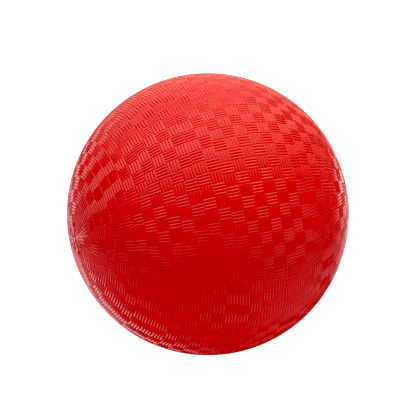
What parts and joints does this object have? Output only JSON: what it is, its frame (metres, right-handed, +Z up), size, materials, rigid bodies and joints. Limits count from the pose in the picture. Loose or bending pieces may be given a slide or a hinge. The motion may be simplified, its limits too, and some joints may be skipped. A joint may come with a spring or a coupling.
{
  "type": "playground ball",
  "caption": "Inflatable round rubber ball with a moulded basket-weave skin over a wound bladder, blown up through a needle valve with a pull-out plug.",
  "frame": {"origin": "middle of the flat patch that the ball's weight presses onto the floor", "axes": "+Z up from the floor, +X out through the valve, which is also the axis of the weave's rings"},
  "size_m": [0.216, 0.216, 0.2154],
  "materials": {
    "cover_rubber": "glossy moulded red rubber with a basket-weave relief",
    "nylon_thread": "wound nylon thread set in latex",
    "bladder_rubber": "smooth black butyl rubber",
    "valve_rubber": "moulded black rubber",
    "plug_rubber": "soft moulded black rubber"
  },
  "bodies": {
    "ball": {"cover": "cover_rubber", "nylon_winding": "nylon_thread", "bladder": "bladder_rubber", "valve_housing": "valve_rubber"},
    "plug": {"valve_plug": "plug_rubber"}
  },
  "joints": [
    {"name": "plug_pull", "type": "slide", "parent": "ball", "child": "plug", "axis": [1, 0, 0], "range_m": [0, 0.03]}
  ]
}
